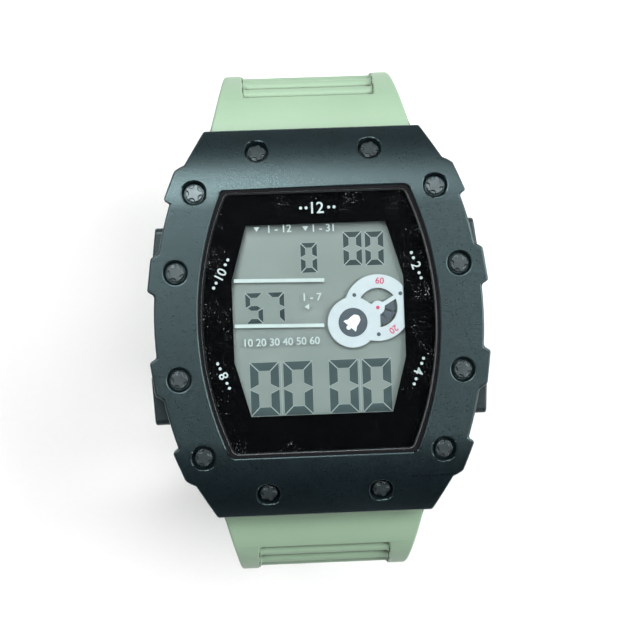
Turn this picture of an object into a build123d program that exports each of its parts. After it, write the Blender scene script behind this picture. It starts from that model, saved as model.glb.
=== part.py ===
from build123d import *
import math
import os

# Digital watch in a barrel-shaped case on a moulded strap, unbuckled, standing dial up on its strap.
# Sizes are in millimetres and angles in degrees. +X points to three o'clock, +Y to twelve o'clock and
# +Z out of the dial. The case is drawn with the outer face of its back at height zero. At the end all
# is lifted by the depth of the lower strap half, so that the strap stands on the ground plane.

os.makedirs("parts", exist_ok=True)

# Case outline, seen from the front
case_length = 50.9
case_width = 43.0
side_radius = 50.0
corner_length = 4.9
corner_width = 7.3
overrun = 5.0

# Bezel
bezel_thickness = 3.9
bezel_flat_length = 30.0
bezel_fall = 3.7
bezel_side_width = 5.75
bezel_end_width = 8.05
lip_thickness = 1.5
ear_reach = 0.95
ear_slant = 0.6
ear_root = 1.2
inner_ear_near = 4.6
inner_ear_far = 8.9
outer_ear_near = 16.4
outer_ear_far = 20.2

# Crystal opening in the bezel
opening_narrowing = 3.65
opening_corner = 1.0
ledge_width = 1.0
gasket_thickness = 0.35
crystal_thickness = 1.6
crystal_sink = 0.15
crystal_chamfer = 0.3
gasket_sink = 0.25

# Bezel screws
screw_head_radius = 1.12
screw_head_height = 0.85
screw_recess_radius = 1.5
screw_recess_depth = 1.15
screw_shank_radius = 0.6
screw_shank_length = 4.6
short_shank_length = 1.5
star_points = 5
star_groove_radius = 0.42
star_groove_depth = 0.3
screw_fit = 0.02
middle_screw_inset = 3.0
middle_screw_y = 6.95
corner_screw_inset = 5.8
corner_screw_end = 8.2
end_screw_inset = 6.8
end_screw_end = 2.95

# Dial: film, mask and printed figure
film_thickness = 0.2
mask_thickness = 0.3
figure_thickness = 0.1
figure_edge_gap = 0.05
dial_gap = 0.1
mask_side = 4.5
mask_top = 4.6
mask_bottom = 5.2
window_top_step = 2.1
window_bottom_step = 1.95
window_upper_corner_y = 5.6
window_lower_corner_y = -5.0
ring_inset = 3.48
ring_y = 1.5
ring_radius = 4.37
ring_window_radius = 2.6
ring_hub_radius = 0.91
ring_spoke_width = 0.55
upper_spoke_angle = 30.0
lower_spoke_angle = 270.0
left_web_angle = 150.0
disc_offset = 3.32
disc_y = -0.32
disc_radius = 3.3
disc_window_radius = 1.91

# Display stack, from the back up
glass_thickness = 0.7
glass_side_margin = 0.35
glass_end_margin = 0.9
contact_ledge = 1.5
reflector_thickness = 0.1
guide_thickness = 0.8
guide_gap = 0.6
guide_inset = 0.5
strip_thickness = 1.0
strip_inset = 1.6
frame_gap = 0.25
frame_top_gap = 0.15
glass_gap = 0.15
led_length = 1.8
led_width = 0.8
led_height = 0.8
led_gap = 0.2

# Module
board_thickness = 0.8
board_side_inset = 0.1
board_end_inset = 0.3
board_corner = 3.0
chip_radius = 3.2
chip_height = 0.5
base_thickness = 4.0
base_gap = 0.8
base_side_gap = 2.3
base_end_gap = 0.4
battery_room = 5.0
battery_end_wall = 1.9
battery_thickness = 2.5
battery_fit = 0.15
clip_thickness = 0.25
clip_width = 6.0
contact_radius = 1.6
contact_wire = 0.3
contact_turns = 3
quartz_radius = 1.0
quartz_length = 6.0
quartz_inset = 2.6
buzzer_radius = 5.2
buzzer_thickness = 0.35
buzzer_side = 3.0
buzzer_inset = 5.1
buzzer_spring_radius = 0.9
buzzer_spring_wire = 0.25
buzzer_spring_turns = 5
module_screw_radius = 0.5
module_screw_head_radius = 0.95
module_screw_head_height = 0.4
module_screw_length = 3.2
module_screw_inset = 1.5
leaf_thickness = 0.15
leaf_width = 3.0
leaf_foot = 1.4
leaf_gap = 0.1

# Case band and back cover
band_inset = 0.2
band_side_wall = 5.7
band_end_wall = 8.55
cavity_corner = 4.0
cover_thickness = 1.4
cover_proud = 0.6
cover_side_lap = 1.8
cover_end_lap = 1.3
cover_corner = 3.8
cover_fit = 0.05
cover_dish_inset = 6.1
cover_dish_depth = 0.15
back_gasket_width = 0.4
back_gasket_height = 0.5
back_gasket_offset = 0.1
back_screw_inset_x = 2.1
back_screw_inset_y = 1.9
back_screw_radius = 0.45
back_screw_head_radius = 1.05
back_screw_head_height = 0.6
back_screw_length = 3.0
screw_slot_width = 0.28
screw_slot_depth = 0.25

# Pushers
pusher_y = 9.75
pusher_length = 6.5
pusher_height = 3.8
pusher_corner = 0.8
pusher_round = 0.3
pusher_roof = 0.3
pusher_depth = 2.5
upper_reach_near = 0.35
upper_reach_far = -0.45
lower_reach_near = 0.78
lower_reach_far = 0.42
pusher_travel = 0.7
pusher_end_gap = 0.25
pusher_side_gap = 0.3
stem_radius = 0.8
stem_fit = 0.05
stem_groove_radius = 0.5
stem_tail = 0.85
spring_radius = 1.25
spring_wire = 0.2
spring_turns = 4
spring_pocket_depth = 0.9
spring_pocket_radius = 1.5
eclip_radius = 1.45
eclip_thickness = 0.3
eclip_gap = 0.04
eclip_mouth = 0.9
eclip_fit = 0.03

# Spring bars and strap roots
lug_radius = 2.9
lug_width = 3.8
bar_radius = 0.75
bar_tip_radius = 0.4
bar_tip_length = 1.2
bar_fit = 0.05
knuckle_radius = 2.6
knuckle_gap = 0.35
shoulder_gap = 0.35
root_side_gap = 0.3

# Strap, measured along its outer face from the top of the knuckle; + turns curl towards the wrist
root_angle = 14.0
root_length = 3.85
shoulder_inset = 0.75
strap_side_lap = 0.8
bend_radius = 9.5
root_thickness = 5.2
upper_thickness = 3.2
lower_thickness = 2.6
upper_side_length = 15.7
upper_side_angle = 18.0
upper_curl_length = 31.5
upper_curl_angle = 82.0
buckle_inset = 18.38
lower_side_length = 33.0
lower_side_angle = 20.0
lower_curl_length = 22.0
lower_curl_angle = 70.0
lower_flat_length = 24.0
lower_tip_length = 17.0
lower_tip_angle = 38.0
taper_samples = 7

# Ribbed recess of the strap
recess_side = 2.45
recess_start = 8.0
recess_depth = 1.6
rib_radius = 0.86
rib_pitch = 2.55
rib_count = 5
rib_sink = 0.35

# Buckle holes and tip
hole_count = 9
hole_pitch = 6.0
hole_length = 3.6
hole_width = 2.4
first_hole = 12.0
tip_flat = 1.65

# Buckle
buckle_bar_radius = 0.8
buckle_knuckle_radius = 1.75
buckle_side_gap = 0.25
buckle_arm_width = 2.4
buckle_length = 14.0
buckle_thickness = 2.6
buckle_rim = 3.0
buckle_opening_start = 2.3
tongue_width = 2.4
tongue_slot_width = 3.4
tongue_thickness = 1.1
tongue_ring_radius = 1.5
tongue_gap = 0.05
tongue_overhang = 0.4
tongue_slot_length = 4.2

# Keepers
keeper_width = 4.2
keeper_wall = 1.1
keeper_room = 3.0
fixed_keeper_fit = 0.05
free_keeper_fit = 0.25
fixed_keeper_share = 0.62
free_keeper_travel = 4.5

half_length = case_length / 2
half_width = case_width / 2
side_length = case_length - 2 * corner_length
end_width = case_width - 2 * corner_width

# Sizes in plan that follow the case's outline, from the outside in
opening_width = case_width - 2 * bezel_side_width
opening_length = case_length - 2 * bezel_end_width
opening_end_width = opening_width - 2 * opening_narrowing
middle_screw_x = half_width - middle_screw_inset
corner_screw_x = half_width - corner_screw_inset
corner_screw_y = half_length - corner_screw_end
end_screw_x = end_width / 2 - end_screw_inset
end_screw_y = half_length - end_screw_end
window_middle_width = opening_width - 2 * mask_side
window_top_width = window_middle_width - 2 * window_top_step
window_bottom_width = window_middle_width - 2 * window_bottom_step
window_top_y = opening_length / 2 - mask_top
window_bottom_y = mask_bottom - opening_length / 2
ring_x = window_middle_width / 2 - ring_inset
disc_x = ring_x - disc_offset
glass_width = window_middle_width + 2 * glass_side_margin
glass_length = window_top_y - window_bottom_y + 2 * glass_end_margin
strip_length = glass_width - 2 * strip_inset
cavity_width = case_width - 2 * band_side_wall
cavity_length = case_length - 2 * band_end_wall
cover_width = cavity_width + 2 * cover_side_lap
cover_length = cavity_length + 2 * cover_end_lap
cover_dish_radius = cover_width / 2 - cover_dish_inset
base_width = cavity_width - 2 * base_side_gap
base_length = cavity_length - 2 * base_end_gap
board_width = base_width - 2 * board_side_inset
board_length = base_length - 2 * board_end_inset
battery_radius = (base_width + base_length) / 4 - battery_room
battery_y = battery_radius + battery_end_wall - base_length / 2
quartz_x = -(clip_width + quartz_length) / 2
quartz_y = base_length / 2 - quartz_inset
buzzer_x = clip_width / 2 + buzzer_side
buzzer_y = base_length / 2 - buzzer_inset
pusher_inner_x = half_width - pusher_depth
lug_gap_width = end_width - 2 * lug_width
shoulder_width = end_width - 2 * shoulder_inset
strap_width = lug_gap_width + 2 * strap_side_lap
recess_width = strap_width - 2 * recess_side
tip_round = strap_width / 2 - tip_flat

# Heights of the stack, worked out from the back up
seat_z = cover_thickness
band_floor_z = cover_proud
base_z = seat_z + base_gap
board_z = base_z + base_thickness
board_top_z = board_z + board_thickness
guide_z = board_top_z + guide_gap
reflector_z = guide_z + guide_thickness
rear_glass_z = reflector_z + reflector_thickness
front_glass_z = rear_glass_z + glass_thickness
display_top_z = front_glass_z + glass_thickness
ledge_z = display_top_z + frame_gap + frame_top_gap
mask_z = ledge_z + film_thickness
crystal_z = mask_z + mask_thickness
crystal_top_z = crystal_z + crystal_thickness
bezel_top_z = crystal_top_z + crystal_sink
band_top_z = bezel_top_z - bezel_thickness

fall_run = half_length - bezel_flat_length / 2
bezel_fall_radius = (fall_run**2 + bezel_fall**2) / (2 * bezel_fall)
lip_z = bezel_top_z - bezel_fall - lip_thickness
pusher_z = band_top_z - pusher_roof - pusher_side_gap - pusher_height

hinge_y = half_length - band_inset - lug_radius
hinge_z = band_floor_z + lug_radius
slot_wall_y = hinge_y - knuckle_radius - knuckle_gap

cavity_x = cavity_width / 2
back_screw_x = cover_width / 2 - back_screw_inset_x
back_screw_y = cover_length / 2 - back_screw_inset_y
quarters = [(1, 1), (-1, 1), (-1, -1), (1, -1)]


def slab(face, low, high):
    """A flat outline drawn at height zero, made solid between two heights."""
    return extrude(Pos(0, 0, low) * face, amount=high - low, dir=(0, 0, 1))


def post(x, y, low, high, radius):
    """An upright round bar."""
    return Pos(x, y, (low + high) / 2) * Cylinder(radius, high - low)


def rod(begin_x, end_x, y, z, radius):
    """A round bar along X."""
    return Pos((begin_x + end_x) / 2, y, z) * Rot(0, 90, 0) * Cylinder(radius, abs(end_x - begin_x))


def block(x, y, low, high, width, length):
    """A box centred on a point in plan."""
    return Pos(x, y, (low + high) / 2) * Box(width, length, high - low)


def side_face(edges):
    """A closed side view, drawn in Y and Z, as a face ready to extrude along X."""
    return Plane.YZ * make_face(edges)


def across(face, width):
    """A side view made solid over a width centred on the middle plane."""
    return extrude(face, amount=width / 2, both=True)


def at_quarters(shape):
    """A shape with its three mirror images about the two middle planes."""
    pair = [shape, mirror(shape, Plane.YZ)]
    return pair + [mirror(one, Plane.XZ) for one in pair]


def coil(radius, wire, turns, length):
    """A round-wire spring standing on height zero, its ends inside the stated length."""
    rise = length - 2 * wire
    path = Helix(rise / turns, rise, radius)
    start = Plane(origin=path @ 0, z_dir=path % 0)
    return Pos(0, 0, wire) * sweep(start * Circle(wire), path=path)


def side_x(y, inset):
    """Half the case's width at a distance from its middle."""
    return half_width - inset - side_radius + math.sqrt(side_radius**2 - y**2)


def case_outline(inset):
    """The barrel outline of the case without its ears."""
    side_y = side_length / 2
    side = side_x(side_y, inset)
    end_x = end_width / 2 - inset
    end_y = half_length - inset
    right = ThreePointArc((side, -side_y), (side_x(0, inset), 0), (side, side_y))
    left = ThreePointArc((-side, side_y), (-side_x(0, inset), 0), (-side, -side_y))
    top = Polyline((side, side_y), (end_x, end_y), (-end_x, end_y), (-side, side_y))
    bottom = Polyline((-side, -side_y), (-end_x, -end_y), (end_x, -end_y), (side, -side_y))
    return make_face([*right.edges(), *top.edges(), *left.edges(), *bottom.edges()])


def ear_outline(near, far):
    """One ear on the right side, between two distances from the middle."""
    near_x = side_x(near, 0)
    far_x = side_x(far, 0)
    return make_face(
        Polyline(
            (near_x - ear_root, near - ear_slant),
            (near_x, near - ear_slant),
            (near_x + ear_reach, near),
            (far_x + ear_reach, far),
            (far_x, far + ear_slant),
            (far_x - ear_root, far + ear_slant),
            close=True,
        )
    )


def opening_outline(inset):
    """The outline of the crystal's opening, drawn in by an inset."""
    end_x = opening_end_width / 2 - inset
    end_y = opening_length / 2 - inset
    middle_x = opening_width / 2 - inset
    right = ThreePointArc((end_x, -end_y), (middle_x, 0), (end_x, end_y))
    left = ThreePointArc((-end_x, end_y), (-middle_x, 0), (-end_x, -end_y))
    top = Line((end_x, end_y), (-end_x, end_y))
    bottom = Line((-end_x, -end_y), (end_x, -end_y))
    face = make_face([*right.edges(), *top.edges(), *left.edges(), *bottom.edges()])
    return fillet(face.vertices(), opening_corner)


def window_outline(inset):
    """The eight-sided window of the dial mask."""
    top_x = window_top_width / 2 - inset
    middle_x = window_middle_width / 2 - inset
    bottom_x = window_bottom_width / 2 - inset
    return make_face(
        Polyline(
            (top_x, window_top_y - inset),
            (middle_x, window_upper_corner_y),
            (middle_x, window_lower_corner_y),
            (bottom_x, window_bottom_y + inset),
            (-bottom_x, window_bottom_y + inset),
            (-middle_x, window_lower_corner_y),
            (-middle_x, window_upper_corner_y),
            (-top_x, window_top_y - inset),
            close=True,
        )
    )


def bezel_side():
    """The bezel's side view: flat over the dial, then falling in an arc to each end."""
    flat_y = bezel_flat_length / 2
    end_y = half_length
    end_z = bezel_top_z - bezel_fall
    middle_angle = math.asin(fall_run / bezel_fall_radius) / 2
    middle_y = flat_y + bezel_fall_radius * math.sin(middle_angle)
    middle_z = bezel_top_z - bezel_fall_radius * (1 - math.cos(middle_angle))
    low_z = lip_z - overrun
    right = ThreePointArc((flat_y, bezel_top_z), (middle_y, middle_z), (end_y, end_z))
    left = ThreePointArc((-end_y, end_z), (-middle_y, middle_z), (-flat_y, bezel_top_z))
    base = Polyline((end_y, end_z), (end_y, low_z), (-end_y, low_z), (-end_y, end_z))
    top = Line((-flat_y, bezel_top_z), (flat_y, bezel_top_z))
    return side_face([*right.edges(), *base.edges(), *left.edges(), *top.edges()])


def screw_places():
    """Places of the four long screws that hold the bezel down."""
    return [(a * corner_screw_x, b * corner_screw_y) for a, b in quarters]


def surface_z(y):
    """Height of the bezel's top face at a distance from the middle."""
    beyond = max(0, abs(y) - bezel_flat_length / 2)
    return bezel_top_z - bezel_fall_radius + math.sqrt(bezel_fall_radius**2 - beyond**2)


def screw_frame(x, y):
    """A frame on the bezel's top face with its Z axis along the face's normal."""
    beyond = max(0, abs(y) - bezel_flat_length / 2)
    tilt = math.degrees(math.asin(beyond / bezel_fall_radius))
    return Pos(x, y, surface_z(y)) * Rot(-math.copysign(tilt, y), 0, 0)


def short_screw_places():
    """Places of the eight short screws, above the pushers and on the bezel's falling ends."""
    middle = [(a * middle_screw_x, b * middle_screw_y) for a, b in quarters]
    return middle + [(a * end_screw_x, b * end_screw_y) for a, b in quarters]


def star_screw(shank_length):
    """A bezel screw hung from the face it is sunk in: a round head with a raised star, and a shank."""
    head_top = screw_head_height - screw_recess_depth
    head = post(0, 0, -screw_recess_depth, head_top - star_groove_depth, screw_head_radius)
    star = post(0, 0, head_top - star_groove_depth, head_top, screw_head_radius)
    for index in range(star_points):
        turned = Rot(0, 0, (index + 1 / 2) * 360 / star_points)
        star -= turned * post(screw_head_radius, 0, -screw_recess_depth, 0, star_groove_radius)
    shank = post(0, 0, -screw_recess_depth - shank_length, -screw_recess_depth, screw_shank_radius)
    return head + star + shank


def screw_hole(shank_length):
    """The recess and the hole for a bezel screw."""
    recess = post(0, 0, -screw_recess_depth, overrun, screw_recess_radius)
    bottom = -screw_recess_depth - shank_length
    return recess + post(0, 0, bottom, 0, screw_shank_radius + screw_fit)


def bezel():
    """The front shell with its eight ears, the crystal's seat and the screw recesses."""
    plan = case_outline(0)
    for near, far in [(inner_ear_near, inner_ear_far), (outer_ear_near, outer_ear_far)]:
        ear = ear_outline(near, far)
        for one in at_quarters(ear):
            plan += one
    body = slab(plan, lip_z, bezel_top_z + overrun) & across(bezel_side(), case_width + overrun)
    body -= block(0, 0, lip_z - overrun, band_top_z, case_width + 2 * overrun, 2 * slot_wall_y)
    body -= slab(opening_outline(0), ledge_z, bezel_top_z + overrun)
    body -= slab(opening_outline(ledge_width), lip_z - overrun, ledge_z + overrun)
    for x, y in screw_places():
        body -= screw_frame(x, y) * screw_hole(screw_shank_length)
    for x, y in short_screw_places():
        body -= screw_frame(x, y) * screw_hole(short_shank_length)
    return body


def crystal():
    """The crystal, with a chamfer round its top."""
    body = slab(opening_outline(gasket_thickness), crystal_z, crystal_top_z)
    return chamfer(body.faces().sort_by(Axis.Z)[-1].edges(), crystal_chamfer)


def crystal_gasket():
    """The black ring between crystal, film and bezel."""
    ring = opening_outline(0) - opening_outline(gasket_thickness)
    return slab(ring, ledge_z, crystal_top_z - gasket_sink)


def dial_film():
    """The clear film under the mask, which carries the printed figure."""
    return slab(opening_outline(gasket_thickness + dial_gap), ledge_z, mask_z)


def dial_mask():
    """The black mask with the display's window."""
    outline = opening_outline(gasket_thickness + dial_gap) - window_outline(0)
    return slab(outline, mask_z, crystal_z)


def wedge(start, finish, radius):
    """A sector of a circle between two angles, for cutting the figure's windows."""
    middle = (start + finish) / 2
    points = []
    for angle in (start, middle, finish):
        points.append((radius * math.cos(math.radians(angle)), radius * math.sin(math.radians(angle))))
    arc = ThreePointArc(*points)
    sides = Polyline(points[2], (0, 0), points[0])
    return make_face([*arc.edges(), *sides.edges()])


def dial_figure():
    """The white figure over the display: a ring with two spokes and a smaller disc with a round window."""
    windows = wedge(upper_spoke_angle, left_web_angle, ring_window_radius)
    windows += wedge(lower_spoke_angle - 360, upper_spoke_angle, ring_window_radius)
    spokes = Circle(ring_hub_radius)
    for angle in (upper_spoke_angle, lower_spoke_angle):
        bar = Pos(ring_window_radius / 2, 0, 0) * Rectangle(ring_window_radius, ring_spoke_width)
        spokes += Rot(0, 0, angle) * bar
    ring = Pos(ring_x, ring_y, 0) * (Circle(ring_radius) - (windows - spokes))
    disc = Pos(disc_x, disc_y, 0) * (Circle(disc_radius) - Circle(disc_window_radius))
    hole = Pos(disc_x, disc_y, 0) * Circle(disc_window_radius)
    figure = (ring - hole) + disc
    return slab(figure & window_outline(figure_edge_gap), mask_z, mask_z + figure_thickness)


def front_glass():
    """The display's front glass, which overhangs the rear one for its contacts."""
    return slab(Rectangle(glass_width, glass_length), front_glass_z, display_top_z)


def rear_glass():
    """The display's rear glass, shorter than the front one at both ends."""
    outline = Rectangle(glass_width, glass_length - 2 * contact_ledge)
    return slab(outline, rear_glass_z, front_glass_z)


def reflector():
    """The half-silvered film behind the display."""
    outline = Rectangle(glass_width - 2 * guide_inset, glass_length - 2 * contact_ledge - 2 * guide_inset)
    return slab(outline, reflector_z, rear_glass_z)


def light_guide():
    """The clear plate that spreads the lamp's light behind the display."""
    outline = Rectangle(glass_width - 2 * guide_inset, glass_length - 2 * contact_ledge - 2 * guide_inset)
    return slab(outline, guide_z, reflector_z)


led_x = -(glass_width / 2 - guide_inset + led_gap + led_width / 2)


def backlight_led():
    """The lamp on the board, at the light guide's left edge."""
    return block(led_x, 0, board_top_z, board_top_z + led_height, led_width, led_length)


strip_y = glass_length / 2 - contact_ledge / 2


def zebra_strips():
    """The two striped rubber connectors between the board and the front glass."""
    return [
        block(0, side * strip_y, board_top_z, front_glass_z, strip_length, strip_thickness)
        for side in (1, -1)
    ]


def lcd_frame():
    """The moulded frame that holds the display, strips and light guide on the board."""
    top = display_top_z + frame_gap
    body = slab(opening_outline(ledge_width + frame_gap), board_top_z, top)
    room_width = glass_width + 2 * glass_gap
    room_length = glass_length + 2 * glass_gap
    room = block(0, 0, board_top_z - overrun, top + overrun, room_width, room_length)
    lamp_room = block(
        led_x,
        0,
        board_top_z - overrun,
        board_top_z + led_height + led_gap,
        led_width + 2 * led_gap,
        led_length + 2 * led_gap,
    )
    head_room_z = board_top_z + module_screw_head_height + led_gap
    for x, y in module_screw_places():
        body -= post(x, y, board_top_z - overrun, head_room_z, screw_room)
    for one in at_quarters(contact_foot(glass_gap)):
        body -= one
    return body - room - lamp_room


screw_room = module_screw_head_radius + led_gap


def module_screw_places():
    """Places of the screws through the board, near its corners."""
    x = board_width / 2 - module_screw_inset
    y = board_length / 2 - module_screw_inset
    return [(a * x, b * y) for a, b in quarters]


def circuit_board():
    """The circuit board with its four screw holes."""
    body = slab(RectangleRounded(board_width, board_length, board_corner), board_z, board_top_z)
    for x, y in module_screw_places():
        body -= post(x, y, board_z - overrun, board_top_z + overrun, module_screw_radius + screw_fit)
    return body


def chip_blob():
    """The black resin blob over the chip."""
    body = post(0, 0, board_top_z, board_top_z + chip_height, chip_radius)
    return chamfer(body.faces().sort_by(Axis.Z)[-1].edges(), chip_height / 2)


def quartz_can():
    """The quartz crystal's small can, lying under the board."""
    z = board_z - quartz_radius
    return rod(quartz_x - quartz_length / 2, quartz_x + quartz_length / 2, quartz_y, z, quartz_radius)


pocket_top_z = base_z + clip_thickness + battery_thickness


def module_base():
    """The plastic base: a cell pocket from below, a quartz pocket from above, spring and screw holes."""
    body = slab(RectangleRounded(base_width, base_length, board_corner), base_z, board_z)
    body -= post(0, battery_y, base_z - overrun, pocket_top_z, battery_radius + battery_fit)
    body -= post(0, battery_y, base_z, board_z + overrun, contact_radius + contact_wire + battery_fit)
    clip_room = clip_width + 2 * battery_fit
    body -= block(0, 0, base_z - overrun, base_z + clip_thickness, clip_room, base_length + overrun)
    body -= block(
        quartz_x,
        quartz_y,
        board_z - 2 * quartz_radius - battery_fit,
        board_z + overrun,
        quartz_length + 2 * battery_fit,
        2 * quartz_radius + 2 * battery_fit,
    )
    spring_hole = buzzer_spring_radius + buzzer_spring_wire + battery_fit
    body -= post(buzzer_x, buzzer_y, base_z - overrun, board_z + overrun, spring_hole)
    hole_radius = module_screw_radius + screw_fit
    for x, y in module_screw_places():
        body -= post(x, y, board_z - module_screw_length, board_z + overrun, hole_radius)
    return body


def module_screws():
    """The four screws that hold the board on the base."""
    screws = []
    low = board_top_z - module_screw_length
    for x, y in module_screw_places():
        screw = post(x, y, low, board_top_z, module_screw_radius)
        screw += post(x, y, board_top_z, board_top_z + module_screw_head_height, module_screw_head_radius)
        slot_low = board_top_z + module_screw_head_height - screw_slot_depth
        screws.append(screw - block(x, y, slot_low, slot_low + overrun, 2 * screw_room, screw_slot_width))
    return screws


def battery():
    """The coin cell."""
    low = base_z + clip_thickness
    cell = post(0, battery_y, low, low + battery_thickness, battery_radius)
    return chamfer(cell.edges(), clip_thickness)


def battery_clip():
    """The steel strip across the back that keeps the cell in its pocket, with its ends bent up the base."""
    strip = block(0, 0, base_z, base_z + clip_thickness, clip_width, base_length)
    for side in (1, -1):
        y = side * (base_length + clip_thickness) / 2
        strip += block(0, y, base_z, board_z, clip_width, clip_thickness)
    return strip


def battery_contact():
    """The coil spring that takes the cell's current to the board."""
    spring = coil(contact_radius, contact_wire, contact_turns, board_z - pocket_top_z)
    return Pos(0, battery_y, pocket_top_z) * spring


def buzzer_disc():
    """The sounder disc bonded to the inside of the back cover."""
    return post(buzzer_x, buzzer_y, seat_z, seat_z + buzzer_thickness, buzzer_radius)


def buzzer_spring():
    """The coil spring between sounder and board."""
    low = seat_z + buzzer_thickness
    spring = coil(buzzer_spring_radius, buzzer_spring_wire, buzzer_spring_turns, board_z - low)
    return Pos(buzzer_x, buzzer_y, low) * spring


stem_tip_x = cavity_x - eclip_gap - eclip_thickness - stem_tail
leaf_x = stem_tip_x - pusher_travel - leaf_gap


def contact_foot(room):
    """The foot of the upper right contact leaf, or with some room the frame's cut-out for it."""
    return block(
        leaf_x - leaf_foot / 2,
        pusher_y,
        board_top_z,
        board_top_z + leaf_thickness + room,
        leaf_foot + 2 * room,
        leaf_width + 2 * room,
    )


def button_contacts():
    """The four contact leaves that the pushers press, each with a foot on the board."""
    low = board_z - base_thickness / 2
    high = board_top_z + leaf_thickness
    blade = block(leaf_x - leaf_thickness / 2, pusher_y, low, high, leaf_thickness, leaf_width)
    return at_quarters(contact_foot(0) + blade)


def rounded_room(width, length, corner, low, high):
    """An upright block with rounded corners, for cavities and plates."""
    return slab(RectangleRounded(width, length, corner), low, high)


def case_band():
    """The middle of the case: module cavity, cover seat, pusher bores, and lugs for the spring bars."""
    body = slab(case_outline(band_inset), band_floor_z, band_top_z)
    side_view = Pos(0, 0, (band_floor_z + band_top_z) / 2) * Box(
        case_width, 2 * slot_wall_y, band_top_z - band_floor_z
    )
    lugs = Pos(0, 0, (band_floor_z + lip_z) / 2) * Box(case_width, 2 * hinge_y, lip_z - band_floor_z)
    for side in (1, -1):
        lugs += rod(-half_width, half_width, side * hinge_y, hinge_z, lug_radius)
    body &= side_view + lugs
    slot_length = half_length + overrun - slot_wall_y
    for side in (1, -1):
        y = side * (slot_wall_y + slot_length / 2)
        body -= block(0, y, band_floor_z - overrun, band_top_z + overrun, lug_gap_width, slot_length)
        tip_x = lug_gap_width / 2 + bar_tip_length + bar_fit
        body -= rod(-tip_x, tip_x, side * hinge_y, hinge_z, bar_tip_radius + bar_fit)
    body -= rounded_room(cavity_width, cavity_length, cavity_corner, seat_z - overrun, band_top_z + overrun)
    cover_room = rounded_room(
        cover_width + 2 * cover_fit,
        cover_length + 2 * cover_fit,
        cover_corner,
        band_floor_z - overrun,
        seat_z,
    )
    body -= cover_room
    body -= gasket_ring(back_gasket_height)
    for x, y in screw_places():
        body -= screw_frame(x, y) * screw_hole(screw_shank_length)
    for a, b in quarters:
        x = a * back_screw_x
        y = b * back_screw_y
        body -= post(x, y, seat_z - overrun, back_screw_length + screw_fit, back_screw_radius + screw_fit)
    for one in at_quarters(pusher_room()):
        body -= one
    return body


def gasket_ring(height):
    """The rubber ring between cover and band, or the groove for it."""
    inner = cavity_width + 2 * back_gasket_offset
    inner_length = cavity_length + 2 * back_gasket_offset
    inner_corner = cavity_corner + back_gasket_offset
    wide = 2 * back_gasket_width
    ring = RectangleRounded(inner + wide, inner_length + wide, inner_corner + back_gasket_width)
    ring -= RectangleRounded(inner, inner_length, inner_corner)
    return slab(ring, seat_z, seat_z + height)


def back_cover():
    """The steel back with a shallow round dish and four counterbored screw holes."""
    body = rounded_room(cover_width, cover_length, cover_corner, 0, seat_z)
    body = chamfer(body.faces().sort_by(Axis.Z)[0].edges(), cover_dish_depth)
    body -= post(0, 0, -overrun, cover_dish_depth, cover_dish_radius)
    for a, b in quarters:
        x = a * back_screw_x
        y = b * back_screw_y
        body -= post(x, y, -overrun, back_screw_head_height + screw_fit, back_screw_head_radius + screw_fit)
        body -= post(x, y, -overrun, seat_z + overrun, back_screw_radius + screw_fit)
    return body


def back_screws():
    """The four slotted screws of the back cover."""
    screws = []
    for a, b in quarters:
        x = a * back_screw_x
        y = b * back_screw_y
        low = screw_fit
        screw = post(x, y, low, back_screw_head_height, back_screw_head_radius)
        screw += post(x, y, back_screw_head_height, back_screw_length, back_screw_radius)
        slot_length = 2 * back_screw_head_radius
        screws.append(screw - block(x, y, -overrun, low + screw_slot_depth, slot_length, screw_slot_width))
    return screws


pusher_mid_z = pusher_z + pusher_height / 2
pocket_floor_x = pusher_inner_x - pusher_travel - pusher_end_gap
spring_floor_x = pocket_floor_x - spring_pocket_depth


def pusher_room():
    """The pocket, spring seat and bore of the upper right pusher."""
    gap = 2 * pusher_side_gap
    room_length = half_width + overrun - pocket_floor_x
    pocket = Pos(pocket_floor_x + room_length / 2, pusher_y, pusher_mid_z) * Box(
        room_length, pusher_length + gap, pusher_height + gap
    )
    seat = rod(spring_floor_x, pocket_floor_x + overrun, pusher_y, pusher_mid_z, spring_pocket_radius)
    bore = rod(cavity_x - overrun, spring_floor_x + overrun, pusher_y, pusher_mid_z, stem_radius + stem_fit)
    return pocket + seat + bore


def pusher(reach_near, reach_far):
    """The upper right pusher: a rounded cap whose face ends beside the case's widest line, and its stem."""
    near_y = pusher_y - pusher_length / 2
    far_y = pusher_y + pusher_length / 2
    plan = make_face(
        Polyline(
            (pusher_inner_x, near_y),
            (half_width + reach_near, near_y),
            (half_width + reach_far, far_y),
            (pusher_inner_x, far_y),
            close=True,
        )
    )
    cap = slab(plan, pusher_z, pusher_z + pusher_height)
    long_edges = cap.edges().filter_by(Axis.X)
    cap = fillet(long_edges, pusher_corner)
    cap = fillet(cap.faces().sort_by(Axis.X)[-1].edges(), pusher_round)
    stem = rod(stem_tip_x, pusher_inner_x, pusher_y, pusher_mid_z, stem_radius)
    stem -= groove(seal_x - seal_radius, seal_x + seal_radius)
    stem -= groove(clip_x, clip_x + eclip_thickness)
    return cap + stem


seal_radius = (stem_radius + stem_fit - stem_groove_radius) / 2
seal_x = (cavity_x + spring_floor_x) / 2
clip_x = cavity_x - eclip_gap - eclip_thickness


def groove(begin_x, end_x):
    """A turned groove in the upper right pusher's stem."""
    outer = rod(begin_x, end_x, pusher_y, pusher_mid_z, 2 * stem_radius)
    return outer - rod(begin_x, end_x, pusher_y, pusher_mid_z, stem_groove_radius)


def pusher_seal():
    """The rubber ring in the stem's middle groove."""
    ring = Torus(stem_groove_radius + seal_radius, seal_radius - stem_fit / 2)
    return Pos(seal_x, pusher_y, pusher_mid_z) * Rot(0, 90, 0) * ring


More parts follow.
